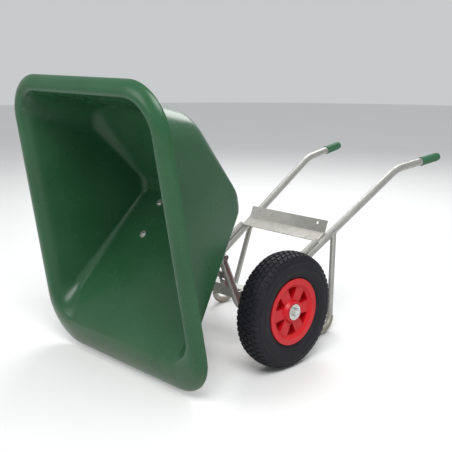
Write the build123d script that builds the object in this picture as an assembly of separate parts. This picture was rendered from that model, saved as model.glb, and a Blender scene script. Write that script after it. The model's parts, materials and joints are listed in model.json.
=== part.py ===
from build123d import *
import math
import os

# Twin-wheel tipping wheelbarrow: a moulded plastic hopper hinged at the front of a galvanised
# tube chassis on two pneumatic wheels. Frame: +X is the way it travels, +Y is the operator's
# left, +Z is up. The origin is on the ground, midway under the wheel axle. The hopper stands
# tipped right forward, which is its rest position here. All sizes are in millimetres.

# ---- wheels and axle
WHEEL_DIAMETER = 400.0
TYRE_WIDTH = 100.0
TYRE_WALL = 7.0
WHEEL_TRACK = 704.0
RIM_FLANGE_DIAMETER = 228.0
BEAD_DIAMETER = 203.0
WELL_DIAMETER = 180.0
RIM_HALF_WIDTH = 42.0
RIM_WALL = 6.0
BEAD_SEAT = 11.0
HUB_LENGTH = 84.0
HUB_DIAMETER = 70.0
SPOKES = 6
SPOKE_HALF_ANGLE = 14.0
POCKET_DEPTH = 24.0
WEB_HALF_THICKNESS = 32.0
AXLE_DIAMETER = 20.0
BEARING_WALL = 6.0
BEARING_LENGTH = 24.0
VALVE_DIAMETER = 8.0
HUB_WASHER_DIAMETER = 54.0
HUB_WASHER_THICKNESS = 3.0
AXLE_NUT_SHARE = 1.35
AXLE_NUT_HEIGHT = 11.0
AXLE_SPACER_WALL = 4.0

# ---- tube chassis
TUBE_DIAMETER = 30.0
TUBE_WALL = 2.5
GRIP_END_X = -1086.0
GRIP_END_Y = 265.0
GRIP_END_ABOVE_AXLE = 400.0
BEND_X = -823.0
BEND_Y = 233.0
BEND_ABOVE_AXLE = 371.0
NOSE_CLEAR_X = 7.0
NOSE_Y = 168.0
NOSE_CLEAR_BELOW_AXLE = 63.0
HANDLE_BEND_RADIUS = 160.0
NOSE_BEND_INSIDE = 65.0
NOSE_TUBE_PAST_PIVOT = 20.0
RAIL_DIAMETER = 20.0
RAIL_WALL = 2.0
RAIL_FRONT_X = -78.0
BEAM_SIZE = 40.0
BEAM_WALL = 3.0
BEAM_LENGTH = 560.0
GUSSET_THICKNESS = 6.0
GUSSET_BEHIND = 36.0
GUSSET_AHEAD = 34.0
CROSSBAR_DIAMETER = 25.0
CROSSBAR_WALL = 2.0
CROSSBAR_BELOW_PIVOT = 76.0
CROSS_PLATE_LENGTH = 392.0
CROSS_PLATE_THICKNESS = 4.0
CROSS_PLATE_FOLD_X = -415.0
CROSS_PLATE_FOOT = 50.0
CROSS_PLATE_FLANGE = 49.0
CROSS_PLATE_LEAN = 21.0
CROSS_PLATE_HOLE = 12.0
CROSS_PLATE_HOLE_FROM_END = 45.0
CROSS_PLATE_HOLE_DOWN = 15.0

# ---- legs and grips
LEG_DIAMETER = 22.0
LEG_WALL = 2.0
LEG_BEND_RADIUS = 58.0
LEG_LEAN = 12.0
LEG_TOP_X = -441.0
FOOT_Y = 263.0
LEG_OUTBOARD = 9.0
LEG_FRONT_KNEE = 70.0
LEG_KNEE_RADIUS = 90.0
SHOE_THICKNESS = 3.0
SHOE_FLAT = 0.5
GRIP_LENGTH = 112.0
GRIP_WALL = 2.8
GRIP_END_WALL = 4.0
PLUG_DEPTH = 16.0
PLUG_HEAD = 3.0

# ---- hopper, in its own frame: x runs along the mouth from the rear edge, z is out of it
HOPPER_LENGTH = 976.0
HOPPER_DEPTH = 405.0
HOPPER_WALL = 5.0
RIM_HALF_REAR = 390.0
RIM_HALF_FRONT = 423.0
RIM_CORNER = 150.0
LIP_CROWN = 16.0
LIP_SKIRT = 12.0
LIP_THICKNESS = 4.5
MOUTH_REAR_X = 52.0
FRONT_LIP_WIDTH = 110.0
MOUTH_HALF_REAR = 333.0
MOUTH_HALF_FRONT = 356.0
MOUTH_CORNER = 105.0
HEEL_FROM_MOUTH = 88.0
HEEL_DEPTH = 229.0
HEEL_ROUND = 60.0
HEEL_CORNER = 110.0
FRONT_CREASE = 42.0
CREASE_DEPTH = 70.0
TOE_SHARE = 0.4908
TOE_ROUND = 60.0
TOE_END_ROUND = 32.0
FLOOR_HALF_WIDTH = 243.0
FLOOR_CORNER = 16.0

# ---- hinge
PIVOT_X = 118.0
PIVOT_ABOVE_AXLE = 170.0
PIVOT_STATION = 173.8
PIVOT_OUT = 93.7
TIP_ANGLE = 99.0
PIVOT_BOLT_DIAMETER = 12.0
PIVOT_NUT_SHARE = 1.583
PIVOT_NUT_HEIGHT = 10.0
PIVOT_HEAD_HEIGHT = 7.5
PIVOT_WASHER_DIAMETER = 24.0
PIVOT_WASHER_THICKNESS = 2.0
BRACKET_THICKNESS = 6.0
BRACKET_FLANGE = 40.0
BRACKET_START = 36.0
BRACKET_END = 226.0
BRACKET_EYE_RADIUS = 20.0
STOP_REACH = 112.0
STOP_TAB_LENGTH = 22.0
STOP_TAB_WIDTH = 9.0
BRACKET_BOLT_STATIONS = (68.0, 198.0)
HOPPER_BOLT_DIAMETER = 8.0
HOPPER_BOLT_HEAD = 13.0
HOPPER_BOLT_HEAD_HEIGHT = 5.3
HOPPER_WASHER_DIAMETER = 28.0
HOPPER_WASHER_THICKNESS = 2.0
HOPPER_NUT_HEIGHT = 8.0

# ---- clearances
RUNNING_CLEARANCE = 0.08
BOLT_CLEARANCE = 0.1
BODY_GAP = 0.5
SEAT_CLEARANCE = 0.05
TREAD_GROOVE = 3.0

# ---- worked-out places
WHEEL_RADIUS = WHEEL_DIAMETER / 2
GRIP_END_Z = WHEEL_RADIUS + GRIP_END_ABOVE_AXLE
BEND_Z = WHEEL_RADIUS + BEND_ABOVE_AXLE
NOSE_X = TUBE_DIAMETER / 2 - NOSE_CLEAR_X
NOSE_Z = WHEEL_RADIUS - NOSE_CLEAR_BELOW_AXLE - TUBE_DIAMETER / 2
NOSE_BEND_RADIUS = NOSE_BEND_INSIDE + TUBE_DIAMETER / 2
PIVOT_Z = WHEEL_RADIUS + PIVOT_ABOVE_AXLE
BEARING_DIAMETER = AXLE_DIAMETER + 2 * BEARING_WALL
AXLE_SPACER_DIAMETER = AXLE_DIAMETER + 2 * AXLE_SPACER_WALL
AXLE_NUT_ACROSS_FLATS = AXLE_DIAMETER * AXLE_NUT_SHARE
PIVOT_NUT_ACROSS_FLATS = PIVOT_BOLT_DIAMETER * PIVOT_NUT_SHARE
MOUTH_FRONT_X = HOPPER_LENGTH - FRONT_LIP_WIDTH
HEEL_X = MOUTH_REAR_X + HEEL_FROM_MOUTH
TOE_X = HOPPER_LENGTH * TOE_SHARE
WHEEL_Y = WHEEL_TRACK / 2
AXLE_RADIUS = AXLE_DIAMETER / 2
TUBE_RADIUS = TUBE_DIAMETER / 2
LEG_RADIUS = LEG_DIAMETER / 2
BEAM_X = AXLE_RADIUS + SEAT_CLEARANCE + BEAM_WALL - BEAM_SIZE / 2
BEAM_BOTTOM = WHEEL_RADIUS - AXLE_RADIUS - BEAM_WALL - SEAT_CLEARANCE
SLOPE_RUN = NOSE_X - BEND_X
SLOPE_DROP = BEND_Z - NOSE_Z
SLOPE = math.atan2(SLOPE_DROP, SLOPE_RUN)
SLOPE_X = math.cos(SLOPE)
SLOPE_Z = math.sin(SLOPE)
FRONT_RUN = MOUTH_FRONT_X - TOE_X
FRONT_WALL_LENGTH = math.hypot(FRONT_RUN, HOPPER_DEPTH)
PIVOT_ALONG = TOE_X + (PIVOT_STATION * FRONT_RUN + PIVOT_OUT * HOPPER_DEPTH) / FRONT_WALL_LENGTH
PIVOT_DEPTH = HOPPER_DEPTH - (PIVOT_STATION * HOPPER_DEPTH - PIVOT_OUT * FRONT_RUN) / FRONT_WALL_LENGTH
BRACKET_WEB_Y = NOSE_Y - TUBE_RADIUS - PIVOT_WASHER_THICKNESS - BODY_GAP - BRACKET_THICKNESS / 2
BRACKET_BOLT_Y = BRACKET_WEB_Y - BRACKET_THICKNESS / 2 - HOPPER_BOLT_HEAD * 0.73

NODES = {}


def add(name, shape):
    """Keeps one named node."""
    NODES[name] = shape


def mirrored(shape):
    """The right-hand copy of a left-hand piece."""
    return mirror(shape, about=Plane.XZ)


def add_pair(name, shape):
    """Keeps a left-hand piece and its mirror image."""
    add(name + "_left", shape)
    add(name + "_right", mirrored(shape))


def straight_z(x):
    """Height of the side tube's straight run at a place along the barrow."""
    return NOSE_Z + (NOSE_X - x) * SLOPE_DROP / SLOPE_RUN


def straight_y(x):
    """Left-hand offset of the side tube's straight run."""
    return NOSE_Y + (NOSE_X - x) * (BEND_Y - NOSE_Y) / SLOPE_RUN


def pipe(path, radius, wall=0.0):
    """A round bar or tube along a path."""
    start = Plane(origin=path @ 0, z_dir=path % 0)
    section = start * Circle(radius)
    if wall:
        section = section - start * Circle(radius - wall)
    return sweep(section, path=path)


def rod_y(x, z, y0, y1, radius, inner=0.0):
    """A round piece along Y, between two Y places."""
    middle = Pos(x, (y0 + y1) / 2, z) * Rot(90, 0, 0)
    rod = middle * Cylinder(radius, abs(y1 - y0))
    if inner:
        rod = rod - middle * Cylinder(inner, abs(y1 - y0) + 2)
    return rod


def hexagon_y(x, z, y0, y1, across_flats, bore=0.0):
    """A hexagon head or nut along Y."""
    middle = Pos(x, (y0 + y1) / 2, z) * Rot(90, 0, 0)
    outline = RegularPolygon(across_flats / 2, 6, major_radius=False)
    block = extrude(outline, abs(y1 - y0) / 2, both=True)
    if bore:
        block = block - Cylinder(bore, abs(y1 - y0) + 2)
    return middle * block


# ---------------------------------------------------------------- side tubes and what joins them

def side_tube_path():
    """Grip end, shallow handle bend, long slope, nose bend, hinge post."""
    rise = math.hypot(PIVOT_X - NOSE_X, PIVOT_Z - NOSE_Z)
    past = 1 + NOSE_TUBE_PAST_PIVOT / rise
    top_x = NOSE_X + (PIVOT_X - NOSE_X) * past
    top_z = NOSE_Z + (PIVOT_Z - NOSE_Z) * past
    return FilletPolyline(
        (GRIP_END_X, GRIP_END_Y, GRIP_END_Z),
        (BEND_X, BEND_Y, BEND_Z),
        (NOSE_X, NOSE_Y, NOSE_Z),
        (top_x, NOSE_Y, top_z),
        radius=[HANDLE_BEND_RADIUS, NOSE_BEND_RADIUS],
    )


def pivot_hole(radius):
    """The hinge bolt's hole through everything on the left-hand side."""
    return rod_y(PIVOT_X, PIVOT_Z, NOSE_Y - 3 * TUBE_DIAMETER, NOSE_Y + 3 * TUBE_DIAMETER, radius)


def side_tube():
    """One bent tube from grip to hinge post, drilled for the hinge bolt."""
    tube = pipe(side_tube_path(), TUBE_RADIUS, TUBE_WALL)
    return tube - pivot_hole(PIVOT_BOLT_DIAMETER / 2 + BOLT_CLEARANCE)


def side_tube_space():
    """The side tube with no bore, for coping what is welded to it."""
    return pipe(side_tube_path(), TUBE_RADIUS)


def rail_end(x):
    """A point of the stiffening rail, which lies on top of the side tube."""
    lift = TUBE_RADIUS + RAIL_DIAMETER / 2 + SEAT_CLEARANCE
    return (x + lift * SLOPE_Z, straight_y(x), straight_z(x) + lift * SLOPE_X)


def rail_start_x():
    """The rail starts against the front edge of the cross plate's foot."""
    return CROSS_PLATE_FOLD_X + (CROSS_PLATE_FOOT + RAIL_DIAMETER / 8) * SLOPE_X


def stiffening_rail():
    """The smaller tube welded along the top of the side tube."""
    path = Line(rail_end(rail_start_x()), rail_end(RAIL_FRONT_X))
    return pipe(path, RAIL_DIAMETER / 2, RAIL_WALL)


def plate_point(along, up):
    """A point of the cross plate's middle layer, from the fold, along or up from the slope."""
    lift = TUBE_RADIUS + CROSS_PLATE_THICKNESS / 2
    x = CROSS_PLATE_FOLD_X + lift * SLOPE_Z + along * SLOPE_X + up * SLOPE_Z
    z = straight_z(CROSS_PLATE_FOLD_X) + lift * SLOPE_X - along * SLOPE_Z + up * SLOPE_X
    return x, z


def flange_point(up):
    """A point of the cross plate's flange, measured up from the fold."""
    x, z = plate_point(0, 0)
    lean = math.radians(CROSS_PLATE_LEAN)
    return x - up * math.sin(lean), z + up * math.cos(lean)


def cross_plate():
    """The folded plate across both side tubes, with a hole near each end of its flange."""
    lean = math.radians(CROSS_PLATE_LEAN)
    with BuildPart() as plate:
        with BuildSketch(Plane.XZ):
            with BuildLine():
                FilletPolyline(
                    plate_point(CROSS_PLATE_FOOT, 0),
                    plate_point(0, 0),
                    flange_point(CROSS_PLATE_FLANGE),
                    radius=CROSS_PLATE_THICKNESS * 1.5,
                )
            trace(line_width=CROSS_PLATE_THICKNESS)
        extrude(amount=CROSS_PLATE_LENGTH / 2, both=True)
    body = plate.part
    hole_x, hole_z = flange_point(CROSS_PLATE_FLANGE - CROSS_PLATE_HOLE_DOWN)
    hole_y = CROSS_PLATE_LENGTH / 2 - CROSS_PLATE_HOLE_FROM_END
    for y in (-hole_y, hole_y):
        axis = Plane(origin=(hole_x, y, hole_z), z_dir=(math.cos(lean), 0, math.sin(lean)))
        body = body - axis * Cylinder(CROSS_PLATE_HOLE / 2, 4 * CROSS_PLATE_THICKNESS)
    return body


def axle_beam():
    """The square tube that carries the axle."""
    middle = Pos(BEAM_X, 0, BEAM_BOTTOM + BEAM_SIZE / 2)
    hollow = BEAM_SIZE - 2 * BEAM_WALL
    return middle * (Box(BEAM_SIZE, BEAM_LENGTH, BEAM_SIZE) - Box(hollow, BEAM_LENGTH + 2, hollow))


def beam_gusset():
    """The upright plate filling the nose bend: tube below, beam behind, hinge post ahead."""
    rear = BEAM_X - BEAM_SIZE / 2 - GUSSET_BEHIND
    front = BEAM_X + BEAM_SIZE / 2 + GUSSET_AHEAD
    top = BEAM_BOTTOM + BEAM_SIZE
    middle = Pos((rear + front) / 2, straight_y(BEAM_X), (NOSE_Z + top) / 2)
    block = middle * Box(front - rear, GUSSET_THICKNESS, top - NOSE_Z)
    place = (Align.MAX, Align.CENTER, Align.CENTER)
    above_rail = Box(BEAM_SIZE * 4, GUSSET_THICKNESS * 2, BEAM_SIZE * 2, align=place)
    block = block - Pos(BEAM_X - BEAM_SIZE, straight_y(BEAM_X), top) * above_rail
    block = block - Pos(BEAM_X, 0, BEAM_BOTTOM + BEAM_SIZE / 2) * Box(BEAM_SIZE, BEAM_LENGTH, BEAM_SIZE)
    rail = pipe(Line(rail_end(rail_start_x()), rail_end(RAIL_FRONT_X)), RAIL_DIAMETER / 2)
    block = block - side_tube_space() - rail
    corner = Vector(BEAM_X, straight_y(BEAM_X), BEAM_BOTTOM - 2)
    return min(block.solids(), key=lambda piece: piece.distance_to(Vertex(corner)))


def crossbar():
    """The tube between the two hinge posts."""
    z = PIVOT_Z - CROSSBAR_BELOW_PIVOT
    x = NOSE_X + (PIVOT_X - NOSE_X) * (z - NOSE_Z) / (PIVOT_Z - NOSE_Z)
    bar = rod_y(x, z, -NOSE_Y, NOSE_Y, CROSSBAR_DIAMETER / 2, CROSSBAR_DIAMETER / 2 - CROSSBAR_WALL)
    post = side_tube_space()
    bar = bar - post - mirrored(post)
    return bar.solids().sort_by(SortBy.VOLUME)[-1]


# ---------------------------------------------------------------- legs, shoes, grips, plugs

def leg_frame():
    """The leaning plane of the left leg: its foot's bend centre, and its upward direction."""
    top_y = straight_y(LEG_TOP_X) + LEG_OUTBOARD
    top_z = straight_z(LEG_TOP_X)
    foot_z = LEG_RADIUS + SHOE_THICKNESS - SHOE_FLAT
    splay = math.atan2(FOOT_Y - top_y, top_z - foot_z)
    up = Vector(0, -math.sin(splay), math.cos(splay))
    lean = math.radians(LEG_LEAN)
    rise = (top_z - foot_z) / math.cos(splay)
    drop = rise - LEG_BEND_RADIUS
    centre_x = LEG_TOP_X + drop * math.tan(lean) + LEG_BEND_RADIUS / math.cos(lean)
    bottom = Vector(centre_x, FOOT_Y, foot_z)
    return bottom + up * LEG_BEND_RADIUS, up


def leg_bend_points():
    """Where the foot's bend starts, its lowest point, and where it ends."""
    centre, up = leg_frame()
    lean = math.radians(LEG_LEAN)
    side = Vector(1, 0, 0) * (LEG_BEND_RADIUS * math.cos(lean))
    below = up * (LEG_BEND_RADIUS * math.sin(lean))
    return centre - side - below, centre - up * LEG_BEND_RADIUS, centre + side - below


def leg():
    """One bent tube: down from the side tube, round the foot, and up to the side tube again."""
    rear, low, front = leg_bend_points()
    up = leg_frame()[1]
    lean = math.radians(LEG_LEAN)
    top = Vector(LEG_TOP_X, straight_y(LEG_TOP_X) + LEG_OUTBOARD, straight_z(LEG_TOP_X))
    forward_up = Vector(1, 0, 0) * math.sin(lean) + up * math.cos(lean)
    knee = front + forward_up * LEG_FRONT_KNEE
    end_x = front.X + (straight_z(front.X) - front.Z) * math.tan(lean) * 0.8
    end = Vector(end_x, straight_y(end_x), straight_z(end_x))
    rear_arm = Line(top, rear)
    bend = ThreePointArc(rear, low, front)
    front_arm = FilletPolyline(front, knee, end, radius=LEG_KNEE_RADIUS)
    path = Wire([rear_arm.edge(), bend.edge()] + list(front_arm.edges()))
    tube = pipe(path, LEG_RADIUS, LEG_WALL) - side_tube_space()
    return tube.solids().sort_by(SortBy.VOLUME)[-1]


def foot_shoe():
    """The half-pipe welded round the outside of the foot's bend."""
    rear, low, front = leg_bend_points()
    centre, up = leg_frame()
    bend = ThreePointArc(rear, low, front)
    start = Plane(origin=bend @ 0, z_dir=bend % 0)
    ring = start * Circle(LEG_RADIUS + SHOE_THICKNESS) - start * Circle(LEG_RADIUS)
    wrap = sweep(ring, path=bend)
    across = Plane(origin=centre, z_dir=Vector(1, 0, 0).cross(up))
    shoe = wrap - across * Cylinder(LEG_BEND_RADIUS, 6 * LEG_DIAMETER)
    wide = 8 * LEG_DIAMETER
    ground = Pos(centre.X, centre.Y, -LEG_DIAMETER) * Box(wide, wide, 2 * LEG_DIAMETER)
    return shoe - ground


def grip_axis():
    """The straight of the handle that the grip covers, and its direction towards the operator."""
    end = Vector(GRIP_END_X, GRIP_END_Y, GRIP_END_Z)
    away = (end - Vector(BEND_X, BEND_Y, BEND_Z)).normalized()
    return end, away


def grip():
    """The plastic sleeve with a closed end."""
    end, away = grip_axis()
    bore = TUBE_RADIUS + SEAT_CLEARANCE
    outer = pipe(Line(end - away * GRIP_LENGTH, end + away * GRIP_END_WALL), bore + GRIP_WALL)
    outer = fillet(outer.edges().sort_by(Axis.X)[0], GRIP_END_WALL * 0.8)
    return outer - pipe(Line(end - away * (GRIP_LENGTH + 1), end + away * SEAT_CLEARANCE), bore)


def post_plug():
    """The plug in the open top of the hinge post."""
    path = side_tube_path()
    top = path @ 1
    out = path % 1
    stem = pipe(Line(top - out * PLUG_DEPTH * 0.5, top), TUBE_RADIUS - TUBE_WALL - SEAT_CLEARANCE)
    head = pipe(Line(top, top + out * PLUG_HEAD), TUBE_RADIUS)
    return stem + fillet(head.edges().sort_by(Axis.Z)[-1], PLUG_HEAD * 0.6)


# ---------------------------------------------------------------- wheels, built about the Y axis

def mirrored_profile(points):
    """A closed outline, given one side of the wheel's middle plane as radius and offset."""
    other = [(r, -y) for r, y in reversed(points)]
    return make_face(Polyline(*points, *other, close=True))


def tyre_outline(shrink):
    """The tyre's outline with its bead, bulging wall and rounded tread, drawn in by a wall."""
    bead = BEAD_DIAMETER / 2
    bead_y = RIM_HALF_WIDTH - RIM_WALL - 2 * shrink
    bulge = (WHEEL_RADIUS * 0.74, TYRE_WIDTH / 2 - shrink)
    shoulder = (WHEEL_RADIUS - 12 - shrink * 0.8, TYRE_WIDTH / 2 - 11 - shrink)
    crown = (WHEEL_RADIUS - shrink * 1.3, 0)
    edges = [
        Line((bead, -bead_y), (bead, bead_y)),
        ThreePointArc((bead, bead_y), bulge, shoulder),
        ThreePointArc(shoulder, crown, (shoulder[0], -shoulder[1])),
        ThreePointArc((shoulder[0], -shoulder[1]), (bulge[0], -bulge[1]), (bead, -bead_y)),
    ]
    return make_face(Curve() + edges)


def tyre():
    """The tyre, with two grooves round its tread."""
    section = tyre_outline(0) - tyre_outline(TYRE_WALL)
    flange = RIM_FLANGE_DIAMETER / 2 + SEAT_CLEARANCE
    for side in (-1, 1):
        rim = Pos(0, side * (RIM_HALF_WIDTH - RIM_WALL + TYRE_WIDTH / 2)) * Rectangle(2 * flange, TYRE_WIDTH)
        section = section - rim
    for y in (-TYRE_WIDTH * 0.17, TYRE_WIDTH * 0.17):
        groove = Pos(WHEEL_RADIUS, y) * Rectangle(2 * TREAD_GROOVE + 4, TREAD_GROOVE)
        section = section - groove
    return revolve(section, Axis.Y)


def inner_tube():
    """The inflated tube inside the tyre."""
    lowest = BEAD_DIAMETER / 2 + 1
    highest = WHEEL_RADIUS - TYRE_WALL * 1.3 - 1.5
    middle = Pos((lowest + highest) / 2, 0)
    across = (highest - lowest) / 2
    wide = TYRE_WIDTH / 2 - TYRE_WALL - 6
    return revolve(middle * (Ellipse(across, wide) - Ellipse(across - 2.5, wide - 2.5)), Axis.Y)


def wheel_pocket(angle):
    """One wedge-shaped recess between two spokes, on the outer side."""
    inner = HUB_DIAMETER / 2 + 8
    outer = WELL_DIAMETER / 2 - RIM_WALL
    half_angle = math.radians(360 / SPOKES / 2 - SPOKE_HALF_ANGLE)
    outline = make_face(Polyline(
        (inner, -inner * math.tan(half_angle) * 0.35),
        (outer * math.cos(half_angle), -outer * math.sin(half_angle)),
        (outer, 0),
        (outer * math.cos(half_angle), outer * math.sin(half_angle)),
        (inner, inner * math.tan(half_angle) * 0.35),
        close=True,
    ))
    outline = fillet(outline.vertices(), 3.0)
    plane = Plane(origin=(0, WEB_HALF_THICKNESS - POCKET_DEPTH, 0), z_dir=(0, 1, 0), x_dir=(1, 0, 0))
    return Rot(0, angle, 0) * extrude(plane * outline, POCKET_DEPTH + RIM_HALF_WIDTH)


def valve_angle():
    """The valve stands in the middle of a pocket."""
    return 180.0 / SPOKES + 360.0 / SPOKES


def valve_space(radius, start, end):
    """A round bar along the valve's line, between two radii."""
    y = WEB_HALF_THICKNESS - POCKET_DEPTH + VALVE_DIAMETER / 2 + BODY_GAP
    bar = Plane(origin=((start + end) / 2, y, 0), z_dir=(1, 0, 0)) * Cylinder(radius, end - start)
    return Rot(0, valve_angle(), 0) * bar


def wheel_centre():
    """The plastic wheel: rim, spoked web with pockets on both sides, and hub."""
    flange = RIM_FLANGE_DIAMETER / 2
    bead = BEAD_DIAMETER / 2 - SEAT_CLEARANCE
    well = WELL_DIAMETER / 2
    bore = BEARING_DIAMETER / 2 + SEAT_CLEARANCE
    hub = HUB_DIAMETER / 2
    edge = RIM_HALF_WIDTH
    inner_edge = edge - RIM_WALL + SEAT_CLEARANCE
    profile = mirrored_profile([
        (bore, HUB_LENGTH / 2),
        (hub, HUB_LENGTH / 2),
        (hub + 6, WEB_HALF_THICKNESS),
        (well - RIM_WALL, WEB_HALF_THICKNESS),
        (bead - RIM_WALL, edge),
        (flange, edge),
        (flange, inner_edge),
        (bead, inner_edge),
        (bead, inner_edge - BEAD_SEAT),
        (well, inner_edge - BEAD_SEAT - 3),
    ])
    body = revolve(profile, Axis.Y)
    for number in range(SPOKES):
        pocket = wheel_pocket(360 / SPOKES * (number + 0.5))
        body = body - pocket - mirror(pocket, about=Plane.XZ)
    return body - valve_space(VALVE_DIAMETER / 2 + BOLT_CLEARANCE, HUB_DIAMETER / 2 + 12, well + 4)


def hub_bearings():
    """The two plain bearings pressed into the hub's ends."""
    pair = []
    for side in (-1, 1):
        end = side * HUB_LENGTH / 2
        start = side * (HUB_LENGTH / 2 - BEARING_LENGTH)
        pair.append(rod_y(0, 0, start, end, BEARING_DIAMETER / 2, AXLE_RADIUS + RUNNING_CLEARANCE))
    return Compound(children=[piece.solid() for piece in pair])


def valve():
    """The valve: its stem in a pocket, and its base against the inner tube."""
    bead = BEAD_DIAMETER / 2
    stem = valve_space(VALVE_DIAMETER / 2, HUB_DIAMETER / 2 + 16, bead - 2)
    return stem + valve_space(VALVE_DIAMETER, bead - 3, bead)


def add_wheel(side, y, turn):
    """The pieces of one wheel; the left wheel's valve side faces left, the right one's right."""
    place = Pos(0, y, WHEEL_RADIUS) * turn
    add("tyre_" + side, place * tyre())
    add("inner_tube_" + side, place * inner_tube())
    add("wheel_centre_" + side, place * wheel_centre())
    add("hub_bearings_" + side, place * hub_bearings())
    add("valve_" + side, place * valve())


def axle_shaft():
    """The solid axle through the beam, as far as the ends of its nuts."""
    half = WHEEL_Y + HUB_LENGTH / 2 + BODY_GAP + HUB_WASHER_THICKNESS + AXLE_NUT_HEIGHT + 2
    shaft = rod_y(0, WHEEL_RADIUS, -half, half, AXLE_RADIUS)
    return chamfer(shaft.edges(), 1.5)


def axle_spacer():
    """The sleeve between the beam's end and the wheel's hub."""
    start = BEAM_LENGTH / 2
    end = WHEEL_Y - HUB_LENGTH / 2 - BODY_GAP
    sleeve = rod_y(0, WHEEL_RADIUS, start, end, AXLE_SPACER_DIAMETER / 2, AXLE_RADIUS + SEAT_CLEARANCE)
    return sleeve


def hub_washer():
    """The large washer over the hub's outer end."""
    start = WHEEL_Y + HUB_LENGTH / 2 + BODY_GAP
    end = start + HUB_WASHER_THICKNESS
    return rod_y(0, WHEEL_RADIUS, start, end, HUB_WASHER_DIAMETER / 2, AXLE_RADIUS + SEAT_CLEARANCE)


def axle_nut():
    """The nut on the axle's threaded end."""
    start = WHEEL_Y + HUB_LENGTH / 2 + BODY_GAP + HUB_WASHER_THICKNESS
    end = start + AXLE_NUT_HEIGHT
    return hexagon_y(0, WHEEL_RADIUS, start, end, AXLE_NUT_ACROSS_FLATS, AXLE_RADIUS + SEAT_CLEARANCE)


# ---------------------------------------------------------------- hopper, in its own frame

def rounded_outline(z, rear_x, front_x, rear_half, front_half, rear_round, front_round):
    """A four-sided outline with round corners, at a height of the hopper's own frame."""
    face = make_face(Polyline(
        (rear_x, -rear_half), (front_x, -front_half), (front_x, front_half), (rear_x, rear_half), close=True
    ))
    face = fillet(face.vertices().group_by(Axis.X)[0], rear_round)
    face = fillet(face.vertices().group_by(Axis.X)[-1], front_round)
    return Pos(0, 0, z) * face


def between(start, end, share):
    """A value part of the way from one to another."""
    return start + (end - start) * share


class Corner:
    """The rounded corner of the hopper's side profile between two straight walls."""

    def __init__(self, x, depth, before, after, radius):
        self.x = x
        self.depth = depth
        self.radius = radius
        reach = radius * math.tan((before - after) / 2)
        self.start = depth - reach * math.sin(before)
        self.end = depth + reach * math.sin(after)
        self.centre_x = x - reach * math.cos(before) + radius * math.sin(before)
        self.centre_depth = depth - reach * math.sin(before) - radius * math.cos(before)

    def round_x(self, depth):
        """The rounded wall's place at a depth between the corner's two tangents."""
        rise = depth - self.centre_depth
        return self.centre_x - math.sqrt(max(0.0, self.radius ** 2 - rise ** 2))


REAR_WALL_TILT = math.atan2(HEEL_DEPTH, HEEL_X - MOUTH_REAR_X)
FLOOR_TILT = math.atan2(HOPPER_DEPTH - HEEL_DEPTH, TOE_X - HEEL_X)
FRONT_WALL_TILT = math.atan2(HOPPER_DEPTH, FRONT_RUN)
HEEL = Corner(HEEL_X, HEEL_DEPTH, REAR_WALL_TILT, FLOOR_TILT, HEEL_ROUND)
TOE = Corner(TOE_X, HOPPER_DEPTH, FLOOR_TILT, -FRONT_WALL_TILT, TOE_ROUND)


def hopper_rear_x(depth):
    """The rear wall, round heel and sloping floor, as one line in the side view."""
    if depth <= HEEL.start:
        return between(MOUTH_REAR_X, HEEL_X, depth / HEEL_DEPTH)
    if depth < HEEL.end:
        return HEEL.round_x(depth)
    if depth <= TOE.start:
        return between(HEEL_X, TOE_X, (depth - HEEL_DEPTH) / (HOPPER_DEPTH - HEEL_DEPTH))
    return TOE.round_x(depth)


def hopper_front_x(depth):
    """The front wall and the toe's rounding, as one line in the side view."""
    tangent_depth = TOE.centre_depth + TOE_ROUND * math.cos(FRONT_WALL_TILT)
    if depth <= tangent_depth:
        return between(MOUTH_FRONT_X, TOE_X, depth / HOPPER_DEPTH)
    return 2 * TOE.centre_x - TOE.round_x(depth)


def crease_round(depth):
    """The front corners' radius: wide at the mouth, then a tight crease down to the toe."""
    if depth < CREASE_DEPTH:
        return between(MOUTH_CORNER, FRONT_CREASE, depth / CREASE_DEPTH)
    return between(FRONT_CREASE, FLOOR_CORNER, (depth - CREASE_DEPTH) / (HOPPER_DEPTH - CREASE_DEPTH))


def toe_end(depth):
    """How much narrower the bowl is near the toe, where its ends are rounded."""
    lowest = TOE.centre_depth + TOE_ROUND
    into = (depth - lowest + TOE_END_ROUND) / TOE_END_ROUND
    if into <= 0:
        return 0.0
    return TOE_END_ROUND * (1 - math.sqrt(max(0.0, 1 - into ** 2)))


def hopper_section(depth, inset):
    """The hopper's level outline at a depth, drawn in by a wall."""
    down = max(depth, 0.0)
    share = down / HOPPER_DEPTH
    rear = hopper_rear_x(down) + inset / math.sin(REAR_WALL_TILT if down < HEEL_DEPTH else FLOOR_TILT)
    front = hopper_front_x(down) - inset / math.sin(FRONT_WALL_TILT)
    if down < HEEL_DEPTH:
        corner = between(MOUTH_CORNER, HEEL_CORNER, down / HEEL_DEPTH)
    else:
        corner = between(HEEL_CORNER, FLOOR_CORNER, (down - HEEL_DEPTH) / (HOPPER_DEPTH - HEEL_DEPTH))
    front_corner = crease_round(down)
    widest = (front - rear) / 2 - 1
    return rounded_outline(
        -depth,
        rear,
        front,
        between(MOUTH_HALF_REAR, FLOOR_HALF_WIDTH, share) - inset - toe_end(down),
        between(MOUTH_HALF_FRONT, FLOOR_HALF_WIDTH, share) - inset - toe_end(down),
        min(max(corner - inset, 2.0), widest),
        min(max(front_corner - inset, 2.0), widest),
    )


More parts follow.
